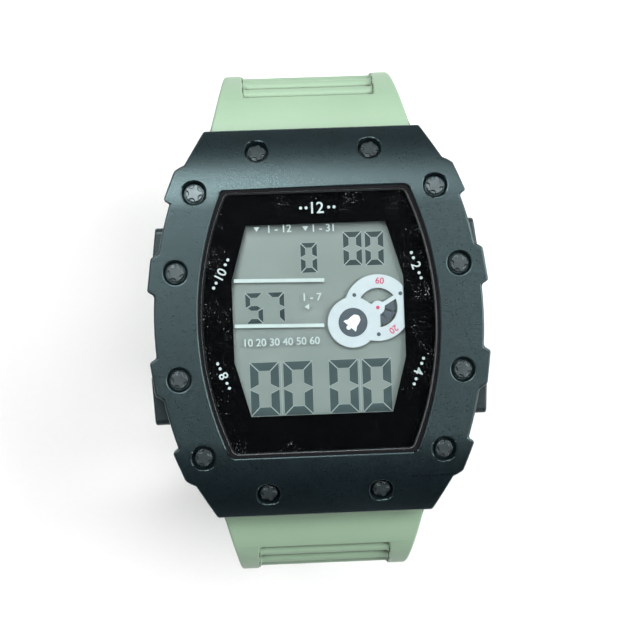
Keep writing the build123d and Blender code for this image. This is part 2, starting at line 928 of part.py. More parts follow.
def pusher_clip():
    """The E-clip in the stem's inner groove, which stops the pusher from coming out."""
    low = clip_x + eclip_fit / 2
    high = clip_x + eclip_thickness - eclip_fit / 2
    clip = rod(low, high, pusher_y, pusher_mid_z, eclip_radius)
    clip -= rod(low, high, pusher_y, pusher_mid_z, stem_groove_radius + eclip_fit)
    mouth = Pos((low + high) / 2, pusher_y, pusher_mid_z + eclip_radius / 2)
    return clip - mouth * Box(high - low, eclip_mouth, eclip_radius)


def pusher_spring():
    """The return spring between the band and the pusher's cap."""
    spring = coil(spring_radius, spring_wire, spring_turns, pusher_inner_x - spring_floor_x)
    return Pos(spring_floor_x, pusher_y, pusher_mid_z) * Rot(0, 90, 0) * spring


def bend_length():
    """Length of the bend that takes the strap from its root slope to hanging straight down."""
    return bend_radius * math.radians(90 - root_angle)


def chain(runs, begin):
    """A chain of runs, each a length and a turn, from the top of the knuckle on the twelve o'clock side."""
    slope = math.radians(root_angle)
    y = hinge_y + knuckle_radius * math.sin(slope)
    z = hinge_z + knuckle_radius * math.cos(slope)
    heading = -slope
    left = begin
    for length, turn in runs:
        step = min(left, length)
        swept = math.radians(turn) * step / length
        if turn:
            radius = length / math.radians(turn)
            y += radius * (math.sin(heading) - math.sin(heading - swept))
            z += radius * (math.cos(heading - swept) - math.cos(heading))
        else:
            y += step * math.cos(heading)
            z += step * math.sin(heading)
        heading -= swept
        left -= step
        if left <= 0:
            break
    return y, z, heading


def beside(runs, distance, outwards):
    """The point at a distance along the chain, shifted outwards."""
    y, z, heading = chain(runs, distance)
    return y - outwards * math.sin(heading), z + outwards * math.cos(heading)


def line_beside(runs, begin, finish, outwards):
    """Lines and arcs that follow the chain between two distances, shifted outwards."""
    edges = []
    passed = 0
    for length, turn in runs:
        low = max(begin, passed)
        high = min(finish, passed + length)
        if high > low:
            first = beside(runs, low, outwards)
            last = beside(runs, high, outwards)
            if turn:
                edges.append(ThreePointArc(first, beside(runs, (low + high) / 2, outwards), last))
            else:
                edges.append(Line(first, last))
        passed += length
    return edges


def total(runs):
    """Length of a chain of runs."""
    return sum(length for length, turn in runs)


def root_runs():
    """The runs that both strap halves begin with."""
    return [(root_length, 0), (bend_length(), 90 - root_angle)]


curl_runs = root_runs() + [(upper_side_length, upper_side_angle), (upper_curl_length, upper_curl_angle)]
curl_end_y, curl_end_z, curl_end_heading = chain(curl_runs, total(curl_runs))
buckle_y = buckle_inset - half_length
upper_end_length = (buckle_y - curl_end_y) / math.cos(curl_end_heading)
upper_runs = curl_runs + [(upper_end_length, 0)]
lower_runs = root_runs() + [
    (lower_side_length, lower_side_angle),
    (lower_curl_length, lower_curl_angle),
    (lower_flat_length, 0),
    (lower_tip_length, lower_tip_angle),
]
bend_end = total(root_runs())
ground_drop = -chain(lower_runs, total(lower_runs) - lower_tip_length)[1]


def strap_side(runs, thickness):
    """The strap's side view, thick at its root and thinning to an even band."""
    finish = total(runs)
    outer = line_beside(runs, 0, finish, 0)
    taper = []
    for index in range(taper_samples):
        share = index / (taper_samples - 1)
        ease = share * share * (3 - 2 * share)
        depth = root_thickness + (thickness - root_thickness) * ease
        taper.append(beside(runs, root_length + (bend_end - root_length) * share, -depth))
    inner_root = Line(beside(runs, 0, -root_thickness), taper[0])
    inner_bend = Spline(*taper)
    inner = line_beside(runs, bend_end, finish, -thickness)
    start = Line(beside(runs, 0, 0), beside(runs, 0, -root_thickness))
    end = Line(beside(runs, finish, 0), beside(runs, finish, -thickness))
    pieces = [*outer, start, inner_root, inner_bend, *inner, end]
    return side_face([edge for piece in pieces for edge in piece.edges()])


def hinge_bar(radius, width):
    """A round bar about the upper strap's hinge axis."""
    return rod(-width / 2, width / 2, hinge_y, hinge_z, radius)


def strap_room():
    """Room that narrows the strap from its shoulders to its even width, from the front and from the end."""
    bend_y, bend_z, heading = chain(upper_runs, bend_end)
    far_y = bend_y + overrun
    low_z = -ground_drop - overrun
    narrow = strap_width / 2
    wide = shoulder_width / 2
    front_points = [(wide, -far_y), (wide, half_length), (narrow, bend_y), (narrow, far_y)]
    end_points = [(wide, bezel_top_z), (wide, hinge_z), (narrow, bend_z), (narrow, low_z)]
    front = mirrored_outline(front_points)
    end = Plane.XZ * mirrored_outline(end_points)
    return slab(front, low_z, bezel_top_z) & extrude(end, amount=far_y, both=True)


def mirrored_outline(points):
    """A face whose right side is a list of points and whose left side mirrors it."""
    left = [(-x, y) for x, y in reversed(points)]
    return make_face(Polyline(*points, *left, close=True))


def strap_blank(runs, thickness):
    """A strap half with its knuckle, shoulders, ribbed recess and spring bar hole."""
    side = strap_side(runs, thickness)
    wide = across(side, shoulder_width) - hinge_bar(lug_radius + shoulder_gap, shoulder_width + overrun)
    root_width = lug_gap_width - 2 * root_side_gap
    body = (wide & strap_room()) + across(side, root_width)
    body += hinge_bar(knuckle_radius, root_width)
    recess_finish = recess_start + rib_count * rib_pitch + rib_sink
    body -= recess(runs, recess_start, recess_finish)
    for index in range(rib_count):
        middle = recess_start + rib_sink + (index + 1 / 2) * rib_pitch
        y, z = beside(runs, middle, -rib_radius - rib_sink)
        body += rod(-recess_width / 2, recess_width / 2, y, z, rib_radius)
    return body - hinge_bar(bar_radius + bar_fit, shoulder_width + overrun)


def recess(runs, begin, finish):
    """The recess in the strap's outer face, before its ribs go in."""
    outer = line_beside(runs, begin, finish, overrun)
    inner = line_beside(runs, begin, finish, -recess_depth)
    start = Line(beside(runs, begin, overrun), beside(runs, begin, -recess_depth))
    end = Line(beside(runs, finish, overrun), beside(runs, finish, -recess_depth))
    pieces = [*outer, start, *inner, end]
    return across(side_face([edge for piece in pieces for edge in piece.edges()]), recess_width)


def frame_at(runs, distance, outwards):
    """A frame on the strap: X across, Y along it towards its end, Z outwards."""
    y, z = beside(runs, distance, outwards)
    heading = chain(runs, distance)[2]
    return Pos(0, y, z) * Rot(math.degrees(heading), 0, 0)


def strap_upper():
    """The buckle half, ending in two knuckles round the buckle's bar."""
    body = strap_blank(upper_runs, upper_thickness)
    place = buckle_place()
    body += place * rod(-strap_width / 2, strap_width / 2, 0, 0, buckle_knuckle_radius)
    slot_y = buckle_knuckle_radius + overrun / 2
    slot = Pos(0, (slot_y - tongue_slot_length) / 2, 0) * Box(
        tongue_slot_width, slot_y + tongue_slot_length, 2 * overrun
    )
    body -= place * slot
    return body - place * rod(-strap_width, strap_width, 0, 0, buckle_bar_radius + bar_fit)


def buckle_place():
    """The buckle's frame: its bar's axis at the end of the upper strap half."""
    return frame_at(upper_runs, total(upper_runs), -upper_thickness / 2)


def strap_lower():
    """The hole half, drawn on the twelve o'clock side and mirrored."""
    body = strap_blank(lower_runs, lower_thickness)
    finish = total(lower_runs)
    for index in range(hole_count):
        distance = finish - first_hole - index * hole_pitch
        place = frame_at(lower_runs, distance, -lower_thickness / 2)
        hole = extrude(SlotOverall(hole_length, hole_width, rotation=90), amount=overrun, both=True)
        body -= place * hole
    tip = frame_at(lower_runs, finish, -lower_thickness / 2)
    corner = Rectangle(strap_width + overrun, 2 * tip_round) - Pos(0, -tip_round, 0) * RectangleRounded(
        strap_width, 4 * tip_round, tip_round
    )
    body -= tip * extrude(Pos(0, -tip_round, 0) * corner, amount=overrun, both=True)
    return mirror(body, Plane.XZ)


def spring_bar():
    """The shouldered bar that holds the upper strap half between the lugs."""
    body = hinge_bar(bar_radius, lug_gap_width - 2 * bar_fit)
    return body + hinge_bar(bar_tip_radius, lug_gap_width + 2 * bar_tip_length)


def buckle_frame():
    """The buckle's frame, open in the middle, with an eye in each arm for the bar."""
    inner = strap_width / 2 + buckle_side_gap
    outer = inner + buckle_arm_width
    plan = Pos(0, buckle_length / 2, 0) * RectangleRounded(2 * outer, buckle_length, buckle_rim)
    arms = Pos(0, buckle_length / 4, 0) * Rectangle(2 * outer, buckle_length / 2)
    hollow_length = buckle_length - buckle_rim + overrun
    hollow = Pos(0, hollow_length / 2 - overrun, 0) * Rectangle(2 * inner, hollow_length)
    body = slab(plan + arms - hollow, -buckle_thickness / 2, buckle_thickness / 2)
    for side in (1, -1):
        body += rod(side * inner, side * outer, 0, 0, buckle_thickness / 2)
    notch_low = buckle_thickness / 2 - tongue_thickness / 2
    notch_y = buckle_length - buckle_rim / 2
    body -= block(0, notch_y, notch_low, overrun, tongue_width + 2 * screw_room, buckle_rim + overrun)
    tip_x = inner + buckle_arm_width / 2
    body -= rod(-tip_x, tip_x, 0, 0, buckle_bar_radius + bar_fit)
    return buckle_place() * body


def buckle_bar():
    """The bar through the frame's arms, the strap's knuckles and the tongue."""
    reach = strap_width / 2 + buckle_side_gap + buckle_arm_width / 2
    return buckle_place() * rod(-reach, reach, 0, 0, buckle_bar_radius)


def buckle_tongue():
    """The tongue: a ring on the bar and a blade that rests in the frame's notch."""
    rest_z = buckle_thickness / 2 - tongue_thickness / 2 + tongue_gap
    end_y = buckle_length + tongue_overhang
    start_z = tongue_ring_radius - tongue_thickness
    blade = side_face(
        Polyline(
            (0, start_z),
            (buckle_opening_start, start_z),
            (buckle_length - buckle_rim - tongue_gap, rest_z),
            (end_y, rest_z),
            (end_y, rest_z + tongue_thickness),
            (buckle_length - buckle_rim - tongue_gap, rest_z + tongue_thickness),
            (0, tongue_ring_radius),
            close=True,
        )
    )
    body = across(blade, tongue_width) + rod(-tongue_width / 2, tongue_width / 2, 0, 0, tongue_ring_radius)
    body -= rod(-tongue_width, tongue_width, 0, 0, buckle_bar_radius + bar_fit)
    return buckle_place() * body


def keeper(distance, fit):
    """A loop round the upper strap half with room for the other half's tail on its outer side."""
    inner_width = strap_width + 2 * fit
    inner_height = upper_thickness + keeper_room + 2 * fit
    body = Box(inner_width + 2 * keeper_wall, keeper_width, inner_height + 2 * keeper_wall)
    body = fillet(body.edges().filter_by(Axis.Y), keeper_wall)
    body -= Box(inner_width, keeper_width + overrun, inner_height)
    middle = inner_height / 2 - upper_thickness - fit
    return frame_at(upper_runs, distance, middle) * body


keeper_reach = total(upper_runs) - buckle_knuckle_radius - keeper_width / 2
fixed_keeper_at = keeper_reach - buckle_knuckle_radius * fixed_keeper_share
free_keeper_at = fixed_keeper_at - keeper_width - free_keeper_travel - 2 * free_keeper_fit


def save(node, shape):
    """Lifts a node's solids on to the ground plane and writes them."""
    if not isinstance(shape, (list, tuple)):
        shape = [shape]
    solids = [solid for one in shape for solid in one.solids()]
    lifted = Pos(0, 0, ground_drop) * Compound(children=solids)
    export_step(lifted, f"parts/{node}.step")


def mirrored(shape, to_left, to_bottom):
    """A copy of an upper right piece at another quarter of the watch."""
    if to_left:
        shape = mirror(shape, Plane.YZ)
    if to_bottom:
        shape = mirror(shape, Plane.XZ)
    return shape


save("bezel", bezel())
long_screw = star_screw(screw_shank_length)
short_screw = star_screw(short_shank_length)
save("bezel_screws", [screw_frame(x, y) * long_screw for x, y in screw_places()])
save("bezel_short_screws", [screw_frame(x, y) * short_screw for x, y in short_screw_places()])
save("crystal", crystal())
save("crystal_gasket", crystal_gasket())
save("dial_film", dial_film())
save("dial_mask", dial_mask())
save("dial_figure", dial_figure())
save("lcd_front_glass", front_glass())
save("lcd_rear_glass", rear_glass())
save("lcd_reflector", reflector())
save("light_guide", light_guide())
save("backlight_led", backlight_led())
save("zebra_strips", zebra_strips())
save("lcd_frame", lcd_frame())
save("circuit_board", circuit_board())
save("chip_blob", chip_blob())
save("quartz_can", quartz_can())
save("module_base", module_base())
save("module_screws", module_screws())
save("battery", battery())
save("battery_clip", battery_clip())
save("battery_contact", battery_contact())
save("buzzer_disc", buzzer_disc())
save("buzzer_spring", buzzer_spring())
save("button_contacts", button_contacts())
save("case_band", case_band())
save("back_cover", back_cover())
save("back_gasket", gasket_ring(back_gasket_height))
save("back_screws", back_screws())

# The four pushers: name, whether on the left or at the bottom, and how far the cap reaches past the case
pushers = [
    ("light", True, False, upper_reach_near, upper_reach_far),
    ("mode", True, True, lower_reach_near, lower_reach_far),
    ("start", False, False, upper_reach_near, upper_reach_far),
    ("reset", False, True, lower_reach_near, lower_reach_far),
]
for name, to_left, to_bottom, reach_near, reach_far in pushers:
    save(f"{name}_pusher", mirrored(pusher(reach_near, reach_far), to_left, to_bottom))
    save(f"{name}_spring", mirrored(pusher_spring(), to_left, to_bottom))
    save(f"{name}_seal", mirrored(pusher_seal(), to_left, to_bottom))
    save(f"{name}_clip", mirrored(pusher_clip(), to_left, to_bottom))

save("strap_upper", strap_upper())
save("strap_lower", strap_lower())
save("upper_spring_bar", spring_bar())
save("lower_spring_bar", mirror(spring_bar(), Plane.XZ))
save("buckle_frame", buckle_frame())
save("buckle_bar", buckle_bar())
save("buckle_tongue", buckle_tongue())
save("fixed_keeper", keeper(fixed_keeper_at, fixed_keeper_fit))
save("free_keeper", keeper(free_keeper_at, free_keeper_fit))
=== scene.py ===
import bmesh
import bpy
import math
from mathutils import Matrix, Vector


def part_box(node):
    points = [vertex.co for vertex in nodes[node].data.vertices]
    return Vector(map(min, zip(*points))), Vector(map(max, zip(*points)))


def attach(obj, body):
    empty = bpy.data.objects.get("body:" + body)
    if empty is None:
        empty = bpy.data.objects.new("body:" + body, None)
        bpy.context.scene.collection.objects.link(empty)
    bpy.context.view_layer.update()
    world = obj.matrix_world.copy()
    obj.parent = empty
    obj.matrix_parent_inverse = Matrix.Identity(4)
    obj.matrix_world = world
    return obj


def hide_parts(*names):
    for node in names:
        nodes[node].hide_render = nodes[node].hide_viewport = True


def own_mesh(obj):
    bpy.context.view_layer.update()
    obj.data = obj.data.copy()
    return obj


# Looks of the digital watch. Sizes are in metres, written as millimetres times mm, and angles in
# degrees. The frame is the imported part's: +X to three o'clock, +Y to twelve o'clock, +Z up.

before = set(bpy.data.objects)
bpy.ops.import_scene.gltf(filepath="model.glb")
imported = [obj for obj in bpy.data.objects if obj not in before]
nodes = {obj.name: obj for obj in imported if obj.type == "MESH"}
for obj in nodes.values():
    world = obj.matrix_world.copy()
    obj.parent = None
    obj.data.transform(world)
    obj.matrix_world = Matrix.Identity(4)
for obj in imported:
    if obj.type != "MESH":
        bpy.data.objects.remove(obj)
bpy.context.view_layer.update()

mm = 0.001

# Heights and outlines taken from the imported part
display_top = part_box("lcd_front_glass")[1].z
film_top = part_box("dial_film")[1].z
mask_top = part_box("dial_mask")[1].z
figure_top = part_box("dial_figure")[1].z
crystal_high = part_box("crystal")[1]

# Roundings of the moulded, turned and stamped edges
bezel_round = 0.28 * mm
band_round = 0.25 * mm
pusher_round = 0.2 * mm
screw_round = 0.07 * mm
strap_round = 0.35 * mm
keeper_round = 0.3 * mm
buckle_round = 0.3 * mm
cover_round = 0.12 * mm
rounding_steps = 3
sharp_angle = 32.0
flat_angle = 0.6
weld_distance = 0.001 * mm
face_gap = 0.008 * mm

# The pushers and their coil springs
pusher_names = ["light", "mode", "start", "reset"]
spring_wire_radius = 0.2 * mm
spring_turns = 4
turn_steps = 24
wire_corners = 10

# Ink and liquid crystal
ink_thickness = 0.02 * mm
ink_gap = 0.004 * mm
round_points = 40

# Liquid crystal digits: centres, width, height, bar thickness and the gap between bars
big_digit_row = -8.66 * mm
big_digit_columns = [-7.38 * mm, -3.0 * mm, 3.0 * mm, 7.37 * mm]
big_digit_width = 3.78 * mm
big_digit_height = 7.0 * mm
big_digit_bar = 1.1 * mm
date_digit_places = [(4.77 * mm, 9.37 * mm), (7.64 * mm, 9.3 * mm)]
date_digit_width = 2.42 * mm
date_digit_height = 4.42 * mm
date_digit_bar = 0.72 * mm
month_digit_place = (-1.0 * mm, 8.36 * mm)
month_digit_width = 2.15 * mm
month_digit_height = 3.89 * mm
day_digit_places = [(-8.4 * mm, 1.98 * mm), (-5.58 * mm, 1.98 * mm)]
day_digit_width = 2.26 * mm
day_digit_height = 4.0 * mm
small_digit_bar = 0.62 * mm
segment_gap = 0.13 * mm
halo_reach = 0.03 * mm
pair_line_width = 0.09 * mm

# Print on the film: two bars, arrows and numbers
upper_bar = (-5.03 * mm, 5.51 * mm)
upper_bar_length = 11.84 * mm
lower_bar = (-5.2 * mm, -0.41 * mm)
lower_bar_length = 11.7 * mm
bar_width = 0.47 * mm
bar_turn = -1.4
small_number_height = 1.0 * mm
arrow_size = 0.8 * mm
arrow_base_share = 0.35
arrow_tip_share = 0.4
number_weight = 0.012
month_arrow = (-7.74 * mm, 12.3 * mm)
month_number = (-4.7 * mm, 12.3 * mm)
date_arrow = (-1.35 * mm, 12.2 * mm)
date_number = (1.0 * mm, 12.2 * mm)
week_number = (-0.72 * mm, 3.2 * mm)
week_arrow = (-1.5 * mm, 1.93 * mm)
scale_numbers = (-4.92 * mm, -2.5 * mm)

# Print on the mask: the hour numbers beside the pushers, each between two rows of dots
mask_number_height = 1.5 * mm
side_number_height = 1.25 * mm
print_dot = 0.2 * mm
print_dot_pitch = 0.72 * mm
print_dot_count = 2
print_dot_clearance = 0.65 * mm
top_number = (0.31 * mm, 14.87 * mm)
side_numbers = [
    ("10", (-12.62 * mm, 6.63 * mm), 61.3),
    ("8", (-12.74 * mm, -6.7 * mm), 113.3),
    ("2", (13.0 * mm, 6.86 * mm), -70.9),
    ("4", (12.85 * mm, -7.02 * mm), -112.3),
]

# The mask's painted shadow on the display: a dark band under the window's upper edge, and one along its
# slanted left edge, whose line is x = painted_shadow_side + painted_shadow_lean_share * y
window_top = 13.0 * mm
painted_shadow_width = 1.9 * mm
painted_shadow_side = -12.46 * mm
painted_shadow_side_width = 0.7 * mm
painted_shadow_lean_share = 0.258

# Printed figure over the display
figure_depth = 0.1 * mm - ink_gap
ring_centre = (7.77 * mm, 1.5 * mm)
ring_number_radius = 3.55 * mm
ring_number_height = 0.85 * mm
ring_numbers = [("60", 84.0), ("20", -56.0)]
hub_dot = 0.24 * mm
rim_dot = 0.26 * mm
rim_dot_radius = 3.5 * mm
rim_dot_angles = (30.0, 150.0, 270.0)
fan_edges = (-88.0, -52.0, -15.0, 26.0)
fan_gap_angle = 2.4
fan_inner = 1.0 * mm
fan_outer = 2.25 * mm
disc_centre = (4.45 * mm, -0.32 * mm)
disc_window = 1.91 * mm
bell_height = 2.3 * mm
bell_turn = -42.0
bell_profile_shares = [
    (0.0, 0.5),
    (0.1, 0.47),
    (0.24, 0.38),
    (0.29, 0.2),
    (0.32, -0.05),
    (0.42, -0.2),
    (0.46, -0.3),
]
clapper_share = 0.13
clapper_drop_share = -0.38

# Camera: the photograph's view, almost straight down on the dial
look_at = Vector((0.05 * mm, 0.17 * mm, crystal_high.z))
camera_distance = 255 * mm
field_width = 83.2 * mm
camera_left_lean = 2.5
camera_rise_lean = 0.65
camera_roll = 2.1
sensor_width = 36 * mm
clip_start = 1 * mm
clip_end = 10.0

# Floor and light: each softbox's lean, heading, distance, width, height and power, and whether it
# shows in reflections
floor_reach = 0.5
wall_strength = 1.0
wall_height = 0.1
far_wall_share = 0.2
side_wall_share = 0.7
side_wall_start = 0.55
near_wall_share = 0.02
wall_turn_share = 0.7
ceiling_strength = 0.05
ceiling_height = 0.3
backdrop_strength = 1.0
room_colour = (0.95, 0.98, 1.0, 1.0)
softboxes = {
    "key": (30.0, 118.0, 0.2, 0.13, 0.1, 0.35, True),
    "side_key": (44.0, 12.0, 0.5, 0.3, 0.4, 2.6, True),
    "wash": (0.0, 0.0, 0.9, 2.4, 2.4, 14.7, False),
}

# Grains of the finishes, the height of their relief, and the size of their colour patches
bezel_grain = 0.16 * mm
resin_grain = 0.3 * mm
screw_grain = 0.25 * mm
strap_grain = 0.22 * mm
rubber_grain = 0.2 * mm
mask_grain = 0.15 * mm
ink_grain = 0.12 * mm
metal_grain = 0.5 * mm
chip_grain = 0.6 * mm
floor_grain = 1 * mm
bezel_relief = 0.02 * mm
band_relief = 0.018 * mm
pusher_relief = 0.012 * mm
metal_relief = 0.004 * mm
strap_relief = 0.006 * mm
plastic_relief = 0.01 * mm
ink_relief = 0.003 * mm
mask_relief = 0.001 * mm
chip_relief = 0.02 * mm
resin_patch = 3 * mm
small_patch = 1.5 * mm
wide_patch = 5 * mm
strap_patch = 9 * mm
floor_patch = 60 * mm
usual_mottling = 0.12
usual_rough_spread = 0.06
brush_stretch = 30.0

# How much detail a noise holds, and between which values most of it lies
usual_detail = 3.0
fine_detail = 4.0
soft_detail = 2.0
dust_detail = 1.0
noise_low = 0.3
noise_high = 0.7
blend_low = 0.35
blend_high = 0.65

# Painted shade in the strap's grooves, darkening by ambient occlusion
groove_shade_reach = 0.9 * mm
groove_shade_low = 0.3
groove_shade_high = 0.8
groove_shade_samples = 8

# The bezel's face: flat to here from its middle line, then falling along an arc of this radius
fall_start = 15.0 * mm
fall_radius = 16.6 * mm
fall_match_low = 0.96
fall_match_high = 0.98

# Marks on the crystal, the film and the display, and the turning lines of the back cover
dust_size = 0.22 * mm
scratch_length = 0.9 * mm
hair_length = 1.2 * mm
scratch_stretch = 14.0
scratch_turn = 38.0
hair_stretch = 16.0
hair_turn = 24.0
mark_low = 0.71
mark_high = 0.77
mark_share = 0.3
worn_area = 3 * mm
worn_side_share = 0.62
worn_end_share = 0.75
clean_rim_share = 0.85
crystal_mirror_share = 0.017
film_mirror_share = 0.001
film_haze = 3 * mm
display_cloud = 7 * mm
display_grain = 0.2 * mm
turning_pitch = 0.09 * mm


def node(tree, kind, inputs=None, **properties):
    """A shader node. Inputs are given by name or number, as a value or as a socket to link."""
    made = tree.nodes.new(kind)
    for key, value in properties.items():
        setattr(made, key, value)
    for key, value in (inputs or {}).items():
        if isinstance(value, bpy.types.NodeSocket):
            tree.links.new(value, made.inputs[key])
        else:
            made.inputs[key].default_value = value
    return made


def empty_material(name):
    """A material with a lone Principled shader: the material, its tree and the shader."""
    material = bpy.data.materials.new(name)
    material.use_nodes = True
    tree = material.node_tree
    return material, tree, tree.nodes["Principled BSDF"]


def object_place(tree, stretch=(1, 1, 1), turn=0.0):
    """The point in the object's own space, turned about Z and stretched, for a texture."""
    place = node(tree, "ShaderNodeTexCoord").outputs["Object"]
    return node(
        tree,
        "ShaderNodeMapping",
        {"Vector": place, "Rotation": (0, 0, math.radians(turn)), "Scale": stretch},
    ).outputs["Vector"]


def noise(tree, place, size, detail=usual_detail):
    """Noise whose patches are about this size."""
    made = node(tree, "ShaderNodeTexNoise", {"Vector": place, "Scale": 1 / size, "Detail": detail})
    return made.outputs["Fac"]


def spread(tree, value, low, high, from_low=noise_low, from_high=noise_high):
    """A texture value stretched onto a range."""
    inputs = {"Value": value, "From Min": from_low, "From Max": from_high, "To Min": low, "To Max": high}
    return node(tree, "ShaderNodeMapRange", inputs).outputs["Result"]


def mixed(tree, share, first, second):
    """A colour between two colours."""
    made = node(tree, "ShaderNodeMix", {0: share, 6: first, 7: second}, data_type="RGBA")
    return made.outputs[2]


def calculated(tree, operation, first, second):
    """Two values put through one operation."""
    return node(tree, "ShaderNodeMath", {0: first, 1: second}, operation=operation).outputs["Value"]


def toned(colour, share):
    """A colour made darker or lighter by a share, with its alpha."""
    return tuple(channel * share for channel in colour) + (1.0,)


def finish(
    name,
    colour,
    roughness,
    grain,
    relief,
    mottling=usual_mottling,
    patch=wide_patch,
    rough_spread=usual_rough_spread,
    shader=None,
    stretch=(1, 1, 1),
    face=None,
    groove_shade=None,
):
    """An opaque finish: soft colour patches, and a fine grain in its roughness and its bump.

    The face function, if there is one, gives the normal that the bump starts from, and the groove shade
    colour paints shade into the grooves."""
    material, tree, surface = empty_material(name)
    place = object_place(tree, stretch)
    patches = noise(tree, place, patch)
    speckle = noise(tree, place, grain, fine_detail)
    share = calculated(tree, "MULTIPLY", calculated(tree, "ADD", patches, speckle), 0.5)
    share = spread(tree, share, 0.0, 1.0, blend_low, blend_high)
    tone = mixed(tree, share, toned(colour, 1 - mottling), toned(colour, 1 + mottling))
    # Painted shade: ambient occlusion darkens the grooves towards the groove shade colour
    if groove_shade:
        reach = {"Distance": groove_shade_reach}
        openness = node(tree, "ShaderNodeAmbientOcclusion", reach, samples=groove_shade_samples)
        open_share = spread(tree, openness.outputs["AO"], 0.0, 1.0, groove_shade_low, groove_shade_high)
        tone = mixed(tree, open_share, toned(groove_shade, 1), tone)
    tree.links.new(tone, surface.inputs["Base Color"])
    rough = spread(tree, speckle, roughness - rough_spread, roughness + rough_spread)
    tree.links.new(rough, surface.inputs["Roughness"])
    bump = node(tree, "ShaderNodeBump", {"Height": speckle, "Distance": relief, "Strength": 1.0})
    tree.links.new(bump.outputs["Normal"], surface.inputs["Normal"])
    if face:
        tree.links.new(face(tree, place), bump.inputs["Normal"])
    for key, value in (shader or {}).items():
        surface.inputs[key].default_value = value
    return material


def falling_face(tree, place):
    """The bezel face's normal: from its arc, so that no facet shows, and elsewhere from its mesh."""
    along = node(tree, "ShaderNodeSeparateXYZ", {"Vector": place}).outputs["Y"]
    beyond = calculated(tree, "SUBTRACT", calculated(tree, "ABSOLUTE", along, 0.0), fall_start)
    lean = calculated(tree, "MAXIMUM", calculated(tree, "DIVIDE", beyond, fall_radius), 0.0)
    sideways = calculated(tree, "MULTIPLY", lean, calculated(tree, "SIGN", along, 0.0))
    squared = calculated(tree, "POWER", lean, 2.0)
    upwards = calculated(tree, "SQRT", calculated(tree, "SUBTRACT", 1.0, squared), 0.0)
    arc_normal = node(tree, "ShaderNodeCombineXYZ", {"Y": sideways, "Z": upwards}).outputs["Vector"]
    geometry = node(tree, "ShaderNodeNewGeometry")
    compared = {0: geometry.outputs["True Normal"], 1: arc_normal}
    match = node(tree, "ShaderNodeVectorMath", compared, operation="DOT_PRODUCT").outputs["Value"]
    share = spread(tree, match, 0.0, 1.0, fall_match_low, fall_match_high)
    blended = {0: share, 4: geometry.outputs["Normal"], 5: arc_normal}
    return node(tree, "ShaderNodeMix", blended, data_type="VECTOR").outputs[1]


def bezel_resin():
    """Black resin from a spark-eroded mould, with a cool satin sheen."""
    tint = {"Specular Tint": (0.68, 0.97, 1.0, 1.0), "Specular IOR Level": 1.0}
    return finish(
        "bezel_resin",
        colour=(0.003, 0.006, 0.008),
        roughness=0.36,
        grain=bezel_grain,
        relief=bezel_relief,
        mottling=0.3,
        patch=resin_patch,
        rough_spread=0.1,
        shader=tint,
        face=falling_face,
    )


def band_resin():
    """The case band's resin, a little duller than the bezel."""
    tint = {"Specular Tint": (0.7, 0.97, 1.0, 1.0)}
    return finish(
        "band_resin",
        colour=(0.008, 0.011, 0.013),
        roughness=0.45,
        grain=resin_grain,
        relief=band_relief,
        mottling=0.3,
        patch=resin_patch,
        rough_spread=0.05,
        shader=tint,
    )


def pusher_resin():
    """The pushers' resin, polished by fingers."""
    tint = {"Specular Tint": (0.75, 0.97, 1.0, 1.0)}
    return finish(
        "pusher_resin",
        colour=(0.02, 0.028, 0.03),
        roughness=0.38,
        grain=resin_grain,
        relief=pusher_relief,
        mottling=0.25,
        patch=resin_patch,
        shader=tint,
    )


def black_screw():
    """Blackened screws with a bright gloss."""
    metal = {"Metallic": 0.7}
    return finish(
        "black_screw",
        colour=(0.075, 0.095, 0.1),
        roughness=0.34,
        grain=screw_grain,
        relief=metal_relief,
        mottling=0.2,
        patch=small_patch,
        shader=metal,
    )


def strap_resin():
    """Pale green strap resin, matt, with faint flow marks and painted shade in its grooves."""
    sheen = {"Sheen Weight": 0.05}
    return finish(
        "strap_resin",
        colour=(0.249, 0.366, 0.255),
        roughness=0.52,
        grain=strap_grain,
        relief=strap_relief,
        mottling=0.035,
        patch=strap_patch,
        shader=sheen,
        # The painted shade colour in the strap's grooves
        groove_shade=(0.075, 0.1, 0.05),
    )


def black_rubber():
    """Black rubber of gaskets and seals."""
    dull = {"Specular IOR Level": 0.2}
    return finish(
        "black_rubber",
        colour=(0.003, 0.003, 0.004),
        roughness=0.8,
        grain=rubber_grain,
        relief=plastic_relief,
        mottling=0.3,
        shader=dull,
    )


def mask_print():
    """Black print behind the crystal."""
    dull = {"Specular IOR Level": 0.02}
    return finish(
        "mask_print",
        colour=(0.0012, 0.0015, 0.0018),
        roughness=0.4,
        grain=mask_grain,
        relief=mask_relief,
        mottling=0.4,
        patch=small_patch,
        shader=dull,
    )


def white_ink(name, colour, roughness=0.45):
    """Screen-printed ink with a slightly uneven lay-down."""
    return finish(name, colour, roughness, ink_grain, ink_relief, 0.05, small_patch)


